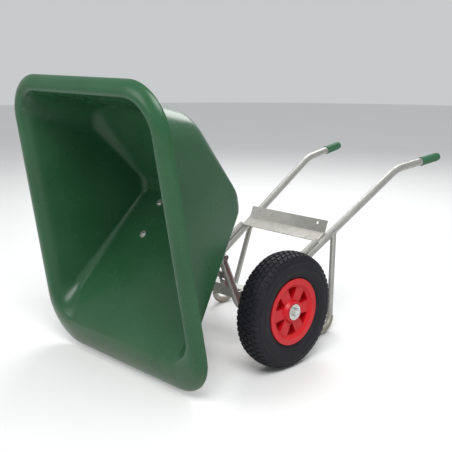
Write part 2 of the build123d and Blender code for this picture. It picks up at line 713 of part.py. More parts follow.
def hopper_bowl(inset, top):
    """The filled shape of the bowl, ruled between level outlines."""
    lowest = TOE.centre_depth + TOE_ROUND - 1.0
    if inset:
        lowest = lowest - 1.6 * inset
    heel = [between(HEEL.start, HEEL.end, share) for share in (0.0, 0.33, 0.67, 1.0)]
    front_tangent = TOE.centre_depth + TOE_ROUND * math.cos(FRONT_WALL_TILT)
    toe_start = min(TOE.start, lowest - 6)
    toe = [front_tangent] + [between(toe_start, lowest, share) for share in (0.0, 0.4, 0.75, 1.0)]
    depths = [-top, 0.0, CREASE_DEPTH / 2, CREASE_DEPTH, HEEL.start * 0.7]
    depths.extend(heel)
    depths.append(between(HEEL.end, front_tangent, 0.5))
    depths.extend(toe)
    return loft([hopper_section(depth, inset) for depth in depths], ruled=True)


def lip_outline(share, z, inset):
    """The lip's outline, part of the way in from its outer edge to the mouth."""
    return rounded_outline(
        z,
        between(0, MOUTH_REAR_X, share) + inset,
        between(HOPPER_LENGTH, MOUTH_FRONT_X, share) - inset,
        between(RIM_HALF_REAR, MOUTH_HALF_REAR, share) - inset,
        between(RIM_HALF_FRONT, MOUTH_HALF_FRONT, share) - inset,
        between(RIM_CORNER, MOUTH_CORNER, share) - inset,
        between(RIM_CORNER, MOUTH_CORNER, share) - inset,
    )


def lip_solid(inset, drop):
    """The rolled lip as a filled dome, from its skirt up to the mouth."""
    shares = (0.0, 0.07, 0.2, 0.4, 0.65, 1.0)
    outlines = [lip_outline(0, -LIP_SKIRT - (1 if drop else 0), inset)]
    for share in shares:
        rise = LIP_CROWN * math.sqrt(1 - (1 - share) ** 2)
        outlines.append(lip_outline(share, rise - drop, inset))
    return loft(outlines, ruled=True)


def hopper_shell():
    """The one-piece moulded hopper: bowl, and lip rolled out and down round its mouth."""
    bowl = hopper_bowl(0, LIP_CROWN - LIP_THICKNESS)
    lip = lip_solid(0, 0) - lip_solid(LIP_THICKNESS, LIP_THICKNESS)
    shell = bowl + lip - hopper_bowl(HOPPER_WALL, LIP_CROWN + 1)
    for station in BRACKET_BOLT_STATIONS:
        for side in (-1, 1):
            hole = wall_plane(station, side * BRACKET_BOLT_Y, 0)
            shell = shell - hole * Cylinder(HOPPER_BOLT_DIAMETER / 2 + BOLT_CLEARANCE, 8 * HOPPER_WALL)
    return shell


def wall_plane(station, y, out):
    """A plane on the front wall's outside, a distance up it from the toe, facing outwards."""
    along_x = FRONT_RUN / FRONT_WALL_LENGTH
    along_z = HOPPER_DEPTH / FRONT_WALL_LENGTH
    origin = (
        TOE_X + station * along_x + out * along_z,
        y,
        -HOPPER_DEPTH + station * along_z - out * along_x,
    )
    return Plane(origin=origin, z_dir=(along_z, 0, -along_x), x_dir=(along_x, 0, along_z))


def hinge_bracket():
    """The left bracket: a flange bolted to the front wall and a web with the hinge eye."""
    base = wall_plane(0, BRACKET_WEB_Y, 0)
    eye = base.to_local_coords(Vector(PIVOT_ALONG, BRACKET_WEB_Y, -PIVOT_DEPTH))
    side = Plane(origin=base.origin, z_dir=base.y_dir, x_dir=base.x_dir)
    height = abs(eye.Z)
    lift = -1 if side.to_local_coords(Vector(PIVOT_ALONG, BRACKET_WEB_Y, -PIVOT_DEPTH)).Y < 0 else 1
    foot = BRACKET_THICKNESS
    start = (BRACKET_START, 0)
    end = (BRACKET_END, 0)
    eye_start = (eye.X - BRACKET_EYE_RADIUS * 0.9, lift * (height + BRACKET_EYE_RADIUS * 0.3))
    eye_end = (eye.X + BRACKET_EYE_RADIUS * 0.9, lift * (height + BRACKET_EYE_RADIUS * 0.3))
    rear = (BRACKET_START, lift * 2 * foot)
    front = (BRACKET_END, lift * 2 * foot)
    outline = make_face(Polyline(start, rear, eye_start, eye_end, front, end, close=True))
    outline = outline + Pos(eye.X, lift * height) * Circle(BRACKET_EYE_RADIUS)
    web = side * extrude(outline, BRACKET_THICKNESS / 2, both=True)
    length = BRACKET_END - BRACKET_START
    flange_y = BRACKET_WEB_Y + BRACKET_THICKNESS / 2 - BRACKET_FLANGE / 2
    seat = wall_plane((BRACKET_START + BRACKET_END) / 2, flange_y, foot / 2)
    bracket = web + seat * Box(length, BRACKET_FLANGE, foot)
    hole = Pos(PIVOT_ALONG, BRACKET_WEB_Y, -PIVOT_DEPTH) * Rot(90, 0, 0)
    bracket = bracket - hole * Cylinder(PIVOT_BOLT_DIAMETER / 2 + BOLT_CLEARANCE, 4 * BRACKET_THICKNESS)
    for station in BRACKET_BOLT_STATIONS:
        bolt_hole = wall_plane(station, BRACKET_BOLT_Y, 0)
        bracket = bracket - bolt_hole * Cylinder(HOPPER_BOLT_DIAMETER / 2 + BOLT_CLEARANCE, 8 * foot)
    return bracket


def post_plane():
    """A plane across the bracket's web: x down the hinge post from the pivot, y forward from it."""
    down = Vector(NOSE_X - PIVOT_X, 0, NOSE_Z - PIVOT_Z).normalized()
    return Plane(origin=(PIVOT_X, BRACKET_WEB_Y, PIVOT_Z), x_dir=down, z_dir=(0, 1, 0))


def stop_lobe():
    """The web's lower arm and its tab, which meets the front of the hinge post when tipped."""
    plane = post_plane()
    forward = 1 if plane.y_dir.X > 0 else -1
    near = forward * (TUBE_RADIUS + BODY_GAP)
    far = near + forward * STOP_TAB_WIDTH
    outline = make_face(Polyline(
        (0, -forward * BRACKET_EYE_RADIUS * 0.6),
        (0, forward * BRACKET_EYE_RADIUS),
        (STOP_REACH, far),
        (STOP_REACH, near),
        (CROSSBAR_BELOW_PIVOT - CROSSBAR_DIAMETER, near),
        close=True,
    ))
    arm = extrude(plane * outline, BRACKET_THICKNESS / 2, both=True)
    tab_start = BRACKET_WEB_Y
    tab_end = NOSE_Y
    middle = Pos(STOP_REACH - STOP_TAB_LENGTH / 2, (near + far) / 2, (tab_end - tab_start) / 2)
    return arm + plane * (middle * Box(STOP_TAB_LENGTH, STOP_TAB_WIDTH, tab_end - tab_start))


def wall_rod(station, y, start, end, radius):
    """A round piece standing on the front wall, between two distances out from it."""
    return wall_plane(station, y, (start + end) / 2) * Cylinder(radius, abs(end - start))


def wall_hexagon(station, y, start, end):
    """A hexagon head or nut standing on the front wall."""
    outline = RegularPolygon(HOPPER_BOLT_HEAD / 2, 6, major_radius=False)
    block = extrude(outline, abs(end - start) / 2, both=True)
    return wall_plane(station, y, (start + end) / 2) * block


def hopper_fasteners():
    """The bolts, inner washers and nuts that hold both brackets to the front wall."""
    bolts, washers, nuts = [], [], []
    inside = -HOPPER_WALL
    washer_top = inside - HOPPER_WASHER_THICKNESS
    head_top = washer_top - HOPPER_BOLT_HEAD_HEIGHT
    nut_seat = BRACKET_THICKNESS
    nut_top = nut_seat + HOPPER_NUT_HEIGHT
    shank = HOPPER_BOLT_DIAMETER / 2
    for station in BRACKET_BOLT_STATIONS:
        for side in (-1, 1):
            y = side * BRACKET_BOLT_Y
            head = wall_hexagon(station, y, washer_top, head_top)
            bolts.append((head + wall_rod(station, y, washer_top, nut_top + 2, shank)).solid())
            disc = wall_rod(station, y, inside, washer_top, HOPPER_WASHER_DIAMETER / 2)
            hole = wall_rod(station, y, inside + 1, washer_top - 1, shank + BOLT_CLEARANCE)
            washers.append((disc - hole).solid())
            bore = wall_rod(station, y, nut_seat - 1, nut_top + 1, shank + SEAT_CLEARANCE)
            nuts.append((wall_hexagon(station, y, nut_seat, nut_top) - bore).solid())
    return bolts, washers, nuts


def tipped(shape):
    """Puts a piece of the hopper's own frame where it stands when tipped forward."""
    return Pos(PIVOT_X, 0, PIVOT_Z) * Rot(0, TIP_ANGLE, 0) * Pos(-PIVOT_ALONG, 0, PIVOT_DEPTH) * shape


# ---------------------------------------------------------------- hinge bolts, on the chassis

def hinge_bolt():
    """Head outboard of the post, shank through the post and the bracket's eye."""
    seat = NOSE_Y + TUBE_RADIUS + PIVOT_WASHER_THICKNESS
    head = hexagon_y(PIVOT_X, PIVOT_Z, seat, seat + PIVOT_HEAD_HEIGHT, PIVOT_NUT_ACROSS_FLATS)
    inner = BRACKET_WEB_Y - BRACKET_THICKNESS / 2 - BODY_GAP - PIVOT_WASHER_THICKNESS - PIVOT_NUT_HEIGHT - 2
    return head + rod_y(PIVOT_X, PIVOT_Z, inner, seat, PIVOT_BOLT_DIAMETER / 2)


def hinge_washers():
    """Washers under the head, between post and bracket, and under the nut."""
    bore = PIVOT_BOLT_DIAMETER / 2 + SEAT_CLEARANCE
    radius = PIVOT_WASHER_DIAMETER / 2
    thick = PIVOT_WASHER_THICKNESS
    inboard = BRACKET_WEB_Y - BRACKET_THICKNESS / 2 - BODY_GAP
    starts = (NOSE_Y + TUBE_RADIUS, NOSE_Y - TUBE_RADIUS - thick, inboard - thick)
    return [rod_y(PIVOT_X, PIVOT_Z, start, start + thick, radius, bore) for start in starts]


def hinge_nut():
    """The locking nut at the bolt's inner end."""
    top = BRACKET_WEB_Y - BRACKET_THICKNESS / 2 - BODY_GAP - PIVOT_WASHER_THICKNESS
    bore = PIVOT_BOLT_DIAMETER / 2 + SEAT_CLEARANCE
    return hexagon_y(PIVOT_X, PIVOT_Z, top - PIVOT_NUT_HEIGHT, top, PIVOT_NUT_ACROSS_FLATS, bore)


def group(shapes):
    """Separate solids that share one node."""
    return Compound(children=[shape.solid() for shape in shapes])


# ---------------------------------------------------------------- all the nodes

def build():
    """Makes every node in its place."""
    add_pair("side_tube", side_tube())
    add_pair("stiffening_rail", stiffening_rail())
    add("cross_plate", cross_plate())
    add("axle_beam", axle_beam())
    add_pair("beam_gusset", beam_gusset())
    add("crossbar", crossbar())
    add_pair("leg", leg())
    add_pair("foot_shoe", foot_shoe())
    add_pair("grip", grip())
    add_pair("post_plug", post_plug())
    add("axle_shaft", axle_shaft())
    add_pair("axle_spacer", axle_spacer())
    add_pair("hub_washer", hub_washer())
    add_pair("axle_nut", axle_nut())
    add_wheel("left", WHEEL_Y, Rot(0, 0, 0))
    add_wheel("right", -WHEEL_Y, Rot(0, 0, 180))
    add("hopper", tipped(hopper_shell()))
    lobe = stop_lobe() - pivot_hole(PIVOT_BOLT_DIAMETER / 2 + BOLT_CLEARANCE)
    add_pair("hinge_bracket", tipped(hinge_bracket()) + lobe)
    bolts, washers, nuts = hopper_fasteners()
    add("hopper_bolts", tipped(Compound(children=bolts)))
    add("hopper_washers", tipped(Compound(children=washers)))
    add("hopper_nuts", tipped(Compound(children=nuts)))
    bolt = hinge_bolt()
    add("hinge_bolts", group([bolt, mirrored(bolt)]))
    left_washers = hinge_washers()
    add("hinge_washers", group(left_washers + [mirrored(washer) for washer in left_washers]))
    nut = hinge_nut()
    add("hinge_nuts", group([nut, mirrored(nut)]))


build()
os.makedirs("parts", exist_ok=True)
for node_name, node_shape in NODES.items():
    export_step(node_shape, f"parts/{node_name}.step")
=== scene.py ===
import json
import logging
import math
from dataclasses import dataclass, field
from enum import Enum
from typing import Callable, Dict, Iterable, List, Optional, Sequence, Tuple

import bmesh
import bpy
from mathutils import Matrix, Vector


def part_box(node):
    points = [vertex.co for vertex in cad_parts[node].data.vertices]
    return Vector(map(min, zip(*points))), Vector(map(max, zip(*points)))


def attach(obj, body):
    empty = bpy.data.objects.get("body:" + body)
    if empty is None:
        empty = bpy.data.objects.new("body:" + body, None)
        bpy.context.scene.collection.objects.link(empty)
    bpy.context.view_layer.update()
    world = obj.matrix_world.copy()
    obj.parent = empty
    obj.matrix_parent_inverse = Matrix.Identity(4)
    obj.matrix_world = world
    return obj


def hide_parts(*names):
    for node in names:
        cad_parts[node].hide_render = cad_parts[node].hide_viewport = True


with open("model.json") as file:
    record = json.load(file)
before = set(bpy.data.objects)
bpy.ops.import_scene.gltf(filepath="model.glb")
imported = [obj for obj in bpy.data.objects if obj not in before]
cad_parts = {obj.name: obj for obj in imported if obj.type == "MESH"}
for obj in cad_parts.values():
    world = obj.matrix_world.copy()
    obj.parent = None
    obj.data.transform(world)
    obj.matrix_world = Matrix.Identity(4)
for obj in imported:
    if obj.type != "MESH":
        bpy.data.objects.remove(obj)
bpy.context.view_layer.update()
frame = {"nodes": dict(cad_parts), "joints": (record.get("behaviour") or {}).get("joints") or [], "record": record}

LOG = logging.getLogger("wheelbarrow")
Colour = Tuple[float, float, float]
Place = Tuple[float, float, float]


class Side(Enum):
    """The operator's left or right, as a sign along Y."""

    LEFT = 1
    RIGHT = -1

    @property
    def word(self) -> str:
        """The side's name as the CAD nodes spell it.

        Returns:
            "left" or "right".
        """
        return self.name.lower()


class Body(Enum):
    """The rigid bodies of the frame."""

    CHASSIS = "chassis"
    HOPPER = "hopper"
    WHEEL_LEFT = "wheel_left"
    WHEEL_RIGHT = "wheel_right"


# ------------------------------------------------------------------ materials


class Graph:
    """A material's node tree, with short calls for the nodes the finishes use."""

    def __init__(self, name: str) -> None:
        """Starts an empty tree with one principled shader.

        Args:
            name: the material's name.
        """
        self.material: bpy.types.Material = bpy.data.materials.new(name)
        self.material.use_nodes = True
        self.tree = self.material.node_tree
        self.tree.nodes.clear()
        self.shader = self.tree.nodes.new("ShaderNodeBsdfPrincipled")
        output = self.tree.nodes.new("ShaderNodeOutputMaterial")
        self.tree.links.new(self.shader.outputs[0], output.inputs[0])
        self.space = self.tree.nodes.new("ShaderNodeTexCoord").outputs["Object"]

    def set(self, socket: str, value: object) -> None:
        """Links or sets one input of the shader.

        Args:
            socket: the shader input's name.
            value: a socket to link, or a constant.
        """
        target = self.shader.inputs[socket]
        if isinstance(value, bpy.types.NodeSocket):
            self.tree.links.new(value, target)
        elif isinstance(value, tuple):
            target.default_value = (*value, 1.0)
        else:
            target.default_value = value

    def stretched(self, scale: Place) -> bpy.types.NodeSocket:
        """Object coordinates scaled differently along each axis.

        Args:
            scale: the three scale factors.

        Returns:
            The vector socket.
        """
        node = self.tree.nodes.new("ShaderNodeMapping")
        node.inputs["Scale"].default_value = scale
        self.tree.links.new(self.space, node.inputs["Vector"])
        return node.outputs[0]

    def noise(self, scale: float, detail: float = 4.0, rough: float = 0.55,
              space: Optional[bpy.types.NodeSocket] = None) -> bpy.types.NodeSocket:
        """Fractal noise.

        Args:
            scale: features per metre.
            detail: octaves.
            rough: how strong the fine octaves are.
            space: coordinates other than the object's, if any.

        Returns:
            The factor socket.
        """
        node = self.tree.nodes.new("ShaderNodeTexNoise")
        node.inputs["Scale"].default_value = scale
        node.inputs["Detail"].default_value = detail
        node.inputs["Roughness"].default_value = rough
        self.tree.links.new(space or self.space, node.inputs["Vector"])
        return node.outputs[0]

    def cells(self, scale: float) -> bpy.types.NodeSocket:
        """A flat random grey for each crystal-like cell.

        Args:
            scale: cells per metre.

        Returns:
            The grey socket.
        """
        node = self.tree.nodes.new("ShaderNodeTexVoronoi")
        node.inputs["Scale"].default_value = scale
        self.tree.links.new(self.space, node.inputs["Vector"])
        grey = self.tree.nodes.new("ShaderNodeRGBToBW")
        self.tree.links.new(node.outputs["Color"], grey.inputs[0])
        return grey.outputs[0]

    def height(self) -> bpy.types.NodeSocket:
        """The height above the ground.

        Returns:
            The Z socket, in metres.
        """
        node = self.tree.nodes.new("ShaderNodeSeparateXYZ")
        self.tree.links.new(self.space, node.inputs[0])
        return node.outputs[2]

    def span(self, value: bpy.types.NodeSocket, low: float, high: float,
             to_low: float = 0.0, to_high: float = 1.0) -> bpy.types.NodeSocket:
        """Maps one range of values onto another, clamped.

        Args:
            value: the input socket.
            low: start of the input range.
            high: end of the input range.
            to_low: start of the output range.
            to_high: end of the output range.

        Returns:
            The mapped socket.
        """
        node = self.tree.nodes.new("ShaderNodeMapRange")
        self.tree.links.new(value, node.inputs["Value"])
        for name, number in (("From Min", low), ("From Max", high), ("To Min", to_low), ("To Max", to_high)):
            node.inputs[name].default_value = number
        return node.outputs[0]

    def mix(self, factor: bpy.types.NodeSocket, first: object, second: object) -> bpy.types.NodeSocket:
        """Blends two colours.

        Args:
            factor: how much of the second colour shows.
            first: a colour or socket.
            second: a colour or socket.

        Returns:
            The blended colour socket.
        """
        node = self.tree.nodes.new("ShaderNodeMix")
        node.data_type = "RGBA"
        self.tree.links.new(factor, node.inputs[0])
        for index, value in ((6, first), (7, second)):
            if isinstance(value, bpy.types.NodeSocket):
                self.tree.links.new(value, node.inputs[index])
            else:
                node.inputs[index].default_value = (*value, 1.0)
        return node.outputs[2]

    def math(self, kind: str, first: bpy.types.NodeSocket, second: object) -> bpy.types.NodeSocket:
        """One arithmetic step.

        Args:
            kind: the operation.
            first: a socket.
            second: a socket or number.

        Returns:
            The result socket.
        """
        node = self.tree.nodes.new("ShaderNodeMath")
        node.operation = kind
        self.tree.links.new(first, node.inputs[0])
        if isinstance(second, bpy.types.NodeSocket):
            self.tree.links.new(second, node.inputs[1])
        else:
            node.inputs[1].default_value = second
        return node.outputs[0]

    def edges(self, radius: float) -> bpy.types.NodeSocket:
        """Where surfaces turn sharply, from a bevelled normal against the true one.

        Args:
            radius: how far from an edge it reaches, in metres.

        Returns:
            A socket near 1 on edges and 0 on flats.
        """
        bevel = self.tree.nodes.new("ShaderNodeBevel")
        bevel.inputs["Radius"].default_value = radius
        true = self.tree.nodes.new("ShaderNodeNewGeometry")
        dot = self.tree.nodes.new("ShaderNodeVectorMath")
        dot.operation = "DOT_PRODUCT"
        self.tree.links.new(bevel.outputs[0], dot.inputs[0])
        self.tree.links.new(true.outputs["Normal"], dot.inputs[1])
        return self.span(dot.outputs["Value"], 0.98, 0.75)

    def bump(self, layers: Sequence[Tuple[bpy.types.NodeSocket, float]]) -> None:
        """Stacks bump layers onto the shader's normal.

        Args:
            layers: pairs of a height socket and its depth in metres.
        """
        previous = None
        for value, depth in layers:
            node = self.tree.nodes.new("ShaderNodeBump")
            node.inputs["Strength"].default_value = 1.0
            node.inputs["Distance"].default_value = depth
            self.tree.links.new(value, node.inputs["Height"])
            if previous is not None:
                self.tree.links.new(previous, node.inputs["Normal"])
            previous = node.outputs[0]
        self.set("Normal", previous)


@dataclass(frozen=True)
class Finish:
    """One finish: what the record's slot of the same name looks like."""

    slot: str
    colour: Colour
    second: Colour
    roughness: float

    def build(self) -> bpy.types.Material:
        """Makes the material.

        Returns:
            The material, with its node tree.
        """
        graph = Graph("finish_" + self.slot)
        self.paint(graph)
        return graph.material

    def paint(self, graph: Graph) -> None:
        """Fills the node tree; each kind of finish has its own.

        Args:
            graph: the tree to fill.
        """
        raise NotImplementedError


@dataclass(frozen=True)
class Galvanised(Finish):
    """Zinc-dipped steel: crystal spangle, grey bloom, and a brownish tint low down, a painted reflection of the
    floor.
    """

    spangle: float = 95.0
    bloom: Colour = (0.54, 0.54, 0.505)
    streak: Colour = (0.33, 0.32, 0.29)
    # brownish colour painted low down as the floor's reflection on the tubes
    soil: Colour = (0.23, 0.19, 0.13)

    def paint(self, graph: Graph) -> None:
        """Fills the node tree.

        Args:
            graph: the tree to fill.
        """
        cells = graph.cells(self.spangle)
        bloom = graph.noise(9.0, 6.0, 0.6)
        base = graph.mix(graph.span(cells, 0.2, 0.8, 0.0, 0.45), self.colour, self.second)
        base = graph.mix(graph.span(bloom, 0.48, 0.70, 0.0, 0.45), base, self.bloom)
        streak = graph.noise(26.0, 5.0, 0.6, graph.stretched((1.0, 1.0, 0.18)))
        base = graph.mix(graph.span(streak, 0.58, 0.72, 0.0, 0.35), base, self.streak)
        # Brownish and less metallic below 10 cm: a painted reflection of the floor on the tubes near the ground.
        low = graph.math("MULTIPLY", graph.span(graph.height(), 0.10, 0.0), graph.span(bloom, 0.35, 0.60))
        graph.set("Base Color", graph.mix(low, base, self.soil))
        graph.set("Metallic", graph.span(low, 0.0, 1.0, 0.80, 0.15))
        rough = graph.math("ADD", graph.span(cells, 0.0, 1.0, -0.07, 0.07),
                           graph.span(bloom, 0.3, 0.7, self.roughness - 0.05, self.roughness + 0.10))
        graph.set("Roughness", rough)
        graph.bump([(graph.noise(420.0, 3.0), 0.00008), (graph.noise(60.0, 3.0), 0.00025)])


@dataclass(frozen=True)
class Zinc(Finish):
    """Bright plated fasteners, dulled in patches."""

    worn: Colour = (0.80, 0.80, 0.78)

    def paint(self, graph: Graph) -> None:
        """Fills the node tree.

        Args:
            graph: the tree to fill.
        """
        patch = graph.noise(120.0, 5.0)
        base = graph.mix(graph.span(patch, 0.45, 0.65), self.colour, self.second)
        graph.set("Base Color", graph.mix(graph.edges(0.0008), base, self.worn))
        graph.set("Metallic", 0.9)
        graph.set("Roughness", graph.span(patch, 0.3, 0.7, self.roughness - 0.08, self.roughness + 0.14))
        graph.bump([(graph.noise(900.0, 2.0), 0.00004)])


@dataclass(frozen=True)
class Plastic(Finish):
    """Moulded plastic: fine grain, slow colour drift, scuffs and a painted highlight along sharp edges."""

    grain: float = 900.0
    grain_depth: float = 0.00005
    # colour of the scuff marks, also painted on sharp edges as a highlight
    scuff: Colour = (0.20, 0.27, 0.22)
    # how strongly the scuff marks and the painted edge highlight show
    scuffing: float = 0.35
    dust: float = 0.2
    soil: Colour = (0.22, 0.18, 0.13)
    shine: float = 0.34

    def paint(self, graph: Graph) -> None:
        """Fills the node tree.

        Args:
            graph: the tree to fill.
        """
        drift = graph.noise(4.0, 4.0)
        base = graph.mix(graph.span(drift, 0.35, 0.65), self.colour, self.second)
        lines = graph.noise(38.0, 8.0, 0.7, graph.stretched((0.25, 2.2, 0.25)))
        where = graph.span(graph.noise(6.0), 0.45, 0.60)
        marks = graph.math("MULTIPLY", graph.span(lines, 0.60, 0.72), where)
        base = graph.mix(graph.math("MULTIPLY", marks, self.scuffing), base, self.scuff)
        # Paler colour along sharp edges: a painted highlight, such as the thin pale lines at the hopper lip's
        # edges.
        base = graph.mix(graph.math("MULTIPLY", graph.edges(0.0015), self.scuffing), base, self.scuff)
        soil = graph.math("MULTIPLY", graph.span(graph.height(), 0.14, 0.0), graph.span(drift, 0.3, 0.6))
        graph.set("Base Color", graph.mix(graph.math("MULTIPLY", soil, self.dust), base, self.soil))
        rough = graph.math("ADD", graph.span(drift, 0.3, 0.7, self.roughness - 0.04, self.roughness + 0.06),
                           graph.math("MULTIPLY", marks, 0.18))
        graph.set("Roughness", rough)
        graph.set("IOR", 1.48)
        graph.set("Specular IOR Level", self.shine)
        graph.bump([(graph.noise(self.grain, 2.0), self.grain_depth), (graph.noise(14.0, 2.0), 0.0004),
                    (lines, 0.00012)])


@dataclass(frozen=True)
class Rubber(Finish):
    """Dull black rubber with pale dust in its low and worn places."""

    dust: Colour = (0.10, 0.092, 0.082)
    dusting: float = 0.30
    worn: Colour = (0.055, 0.055, 0.057)
    shine: float = 0.22

    def paint(self, graph: Graph) -> None:
        """Fills the node tree.

        Args:
            graph: the tree to fill.
        """
        drift = graph.noise(22.0, 7.0, 0.65)
        base = graph.mix(graph.span(drift, 0.35, 0.65), self.colour, self.second)
        dusty = graph.math("MULTIPLY", graph.span(graph.noise(70.0, 6.0, 0.7), 0.50, 0.72), self.dusting)
        base = graph.mix(dusty, base, self.dust)
        worn = graph.math("MULTIPLY", graph.edges(0.001), 0.30)
        graph.set("Base Color", graph.mix(worn, base, self.worn))
        graph.set("Roughness", graph.span(drift, 0.3, 0.7, self.roughness - 0.08, self.roughness + 0.10))
        graph.set("IOR", 1.52)
        graph.set("Specular IOR Level", self.shine)
        graph.bump([(graph.noise(1100.0, 3.0), 0.00007), (drift, 0.0003)])


@dataclass(frozen=True)
class Ground(Finish):
    """The plain pale floor."""

    def paint(self, graph: Graph) -> None:
        """Fills the node tree.

        Args:
            graph: the tree to fill.
        """
        drift = graph.noise(1.5, 3.0)
        graph.set("Base Color", graph.mix(drift, self.colour, self.second))
        graph.set("Roughness", self.roughness)


FINISHES: Tuple[Finish, ...] = (
    Galvanised("galvanised", (0.42, 0.415, 0.385), (0.31, 0.31, 0.295), 0.43),
    Galvanised("plate", (0.50, 0.49, 0.45), (0.40, 0.385, 0.34), 0.42, spangle=60.0),
    Zinc("zinc", (0.62, 0.64, 0.62), (0.46, 0.47, 0.44), 0.32),
    Plastic("hopper_green", (0.014, 0.066, 0.026), (0.019, 0.078, 0.033), 0.27, scuff=(0.10, 0.17, 0.12)),
    Plastic("grip_green", (0.022, 0.105, 0.048), (0.030, 0.120, 0.058), 0.50,
            grain=1400.0, grain_depth=0.0001),
    Plastic("black_plastic", (0.018, 0.018, 0.019), (0.028, 0.028, 0.029), 0.45, scuff=(0.10, 0.10, 0.10)),
    Plastic("wheel_red", (0.60, 0.004, 0.012), (0.48, 0.003, 0.009), 0.34,
            scuff=(0.70, 0.14, 0.12), scuffing=0.25),
    Plastic("nylon", (0.70, 0.69, 0.64), (0.60, 0.59, 0.54), 0.45, scuff=(0.50, 0.48, 0.43)),
    Rubber("tyre", (0.005, 0.005, 0.008), (0.010, 0.010, 0.014), 0.60, dusting=0.12),
    Rubber("tube_rubber", (0.014, 0.014, 0.015), (0.024, 0.024, 0.025), 0.55, dusting=0.1),
)


class Palette:
    """The finishes, made once and looked up by slot."""

    def __init__(self) -> None:
        """Makes every material."""
        self.materials: Dict[str, bpy.types.Material] = {f.slot: f.build() for f in FINISHES}
        self.ground = Ground("ground", (0.80, 0.80, 0.79), (0.76, 0.76, 0.755), 0.75).build()

    def dress(self, thing: bpy.types.Object, slot: str) -> None:
        """Gives an object a slot's material.

        Args:
            thing: the object.
            slot: the record's slot.
        """
        thing.data.materials.clear()
        thing.data.materials.append(self.materials[slot])

    def dress_nodes(self) -> None:
        """Gives every CAD node the material of its slot in the record."""
        for entry in frame["record"]["subparts"]:
            self.dress(frame["nodes"][entry["node"]], entry["material_slot"])


# ------------------------------------------------------------------ mesh building


class Mesh:
    """A bmesh being filled with rings and blocks, then made into a scene object."""

    def __init__(self, name: str) -> None:
        """Starts an empty mesh.

        Args:
            name: the object's name.
        """
        self.name = name
        self.bm = bmesh.new()

    def skin(self, rings: Sequence[Sequence[Vector]], closed: bool, caps: bool = True) -> None:
        """Joins rings of equal length with quads.

        Args:
            rings: the rings, in order.
            closed: whether the last ring joins the first.
            caps: whether an open run's ends are filled.
        """
        made = [[self.bm.verts.new(point) for point in ring] for ring in rings]
        count = len(made[0])
        last = len(made) if closed else len(made) - 1
        for index in range(last):
            here, there = made[index], made[(index + 1) % len(made)]
            for step in range(count):
                after = (step + 1) % count
                self.bm.faces.new((here[step], here[after], there[after], there[step]))
        if not closed and caps:
            self.bm.faces.new(list(reversed(made[0])))
            self.bm.faces.new(made[-1])

    def block(self, corners: Sequence[Vector]) -> None:
        """A closed block from four low corners and four high ones.

        Args:
            corners: eight points, the low four then the high four in the same order.
        """
        verts = [self.bm.verts.new(point) for point in corners]
        for face in ((3, 2, 1, 0), (4, 5, 6, 7), (0, 1, 5, 4), (1, 2, 6, 5), (2, 3, 7, 6), (3, 0, 4, 7)):
            self.bm.faces.new([verts[i] for i in face])

    def finish(self, body: Body, slot: str, palette: Palette, replaces: Iterable[str] = (),
               smooth: bool = True) -> bpy.types.Object:
        """Makes the object, dresses it and ties it to the frame.

        Args:
            body: the body it rides on.
            slot: the record's slot.
            palette: the materials.
            replaces: CAD nodes it stands for.
            smooth: whether curved faces are shaded smooth.

        Returns:
            The object.
        """
        bmesh.ops.recalc_face_normals(self.bm, faces=self.bm.faces)
        data = bpy.data.meshes.new(self.name)
        self.bm.to_mesh(data)
        self.bm.free()
        thing = bpy.data.objects.new(self.name, data)
        bpy.context.scene.collection.objects.link(thing)
        if smooth:
            data.polygons.foreach_set("use_smooth", [True] * len(data.polygons))
            data.set_sharp_from_angle(angle=math.radians(35))
        palette.dress(thing, slot)
        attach(thing, body.value)
        for node in replaces:
            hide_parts(node)
        LOG.info("built %s: %d faces", self.name, len(data.polygons))
        return thing


def basis(axis: Vector) -> Tuple[Vector, Vector]:
    """Two directions square to an axis.

    Args:
        axis: a unit direction.

    Returns:
        The two directions.
    """
    first = axis.orthogonal().normalized()
    return first, axis.cross(first)


def round_points(centre: Vector, first: Vector, second: Vector, size: float, sides: int) -> List[Vector]:
    """Evenly spaced points round a circle.

    Args:
        centre: its middle.
        first: a unit vector in its plane.
        second: the unit vector in its plane square to the first.
        size: its radius.
        sides: how many points.

    Returns:
        The points.
    """
    turns = [2 * math.pi * k / sides for k in range(sides)]
    return [centre + (first * math.cos(turn) + second * math.sin(turn)) * size for turn in turns]


def sweep(path: Sequence[Vector], radius: Callable[[int], float], closed: bool,
          sides: int = 12) -> List[List[Vector]]:
    """Rings round a path, kept square to it without twisting.

    Args:
        path: the points along it.
        radius: the radius at each point's index.
        closed: whether the path is a loop.
        sides: points in each ring.

    Returns:
        The rings.
    """
    count = len(path)
    rings: List[List[Vector]] = []
    first = None
    for index, point in enumerate(path):
        before = path[index - 1] if closed or index else point
        after = path[(index + 1) % count] if closed or index < count - 1 else point
        along = (after - before).normalized()
        first = basis(along)[0] if first is None else (first - along * first.dot(along)).normalized()
        second = along.cross(first)
        rings.append(round_points(point, first, second, radius(index), sides))
    return rings


def rounded_loop(corners: Sequence[Vector], radii: Sequence[float], steps: int) -> List[Vector]:
    """A closed outline with round corners.

    Args:
        corners: the outline's corners in one plane.
        radii: each corner's radius.
        steps: points on each corner.

    Returns:
        The outline's points.
    """
    points: List[Vector] = []
    count = len(corners)
    for index, (corner, radius) in enumerate(zip(corners, radii)):
        back = (corners[index - 1] - corner).normalized()
        on = (corners[(index + 1) % count] - corner).normalized()
        half = back.angle(on) / 2
        centre = corner + (back + on).normalized() * (radius / math.sin(half))
        start = corner + back * (radius / math.tan(half)) - centre
        end = corner + on * (radius / math.tan(half)) - centre
        for step in range(steps + 1):
            points.append(centre + start.slerp(end, step / steps).normalized() * radius)
    return points


def between(start: float, end: float, share: float) -> float:
    """A value part of the way from one to another.

    Args:
        start: the value at share 0.
        end: the value at share 1.
        share: how far along.

    Returns:
        The value.
    """
    return start + (end - start) * share


# ------------------------------------------------------------------ tyres


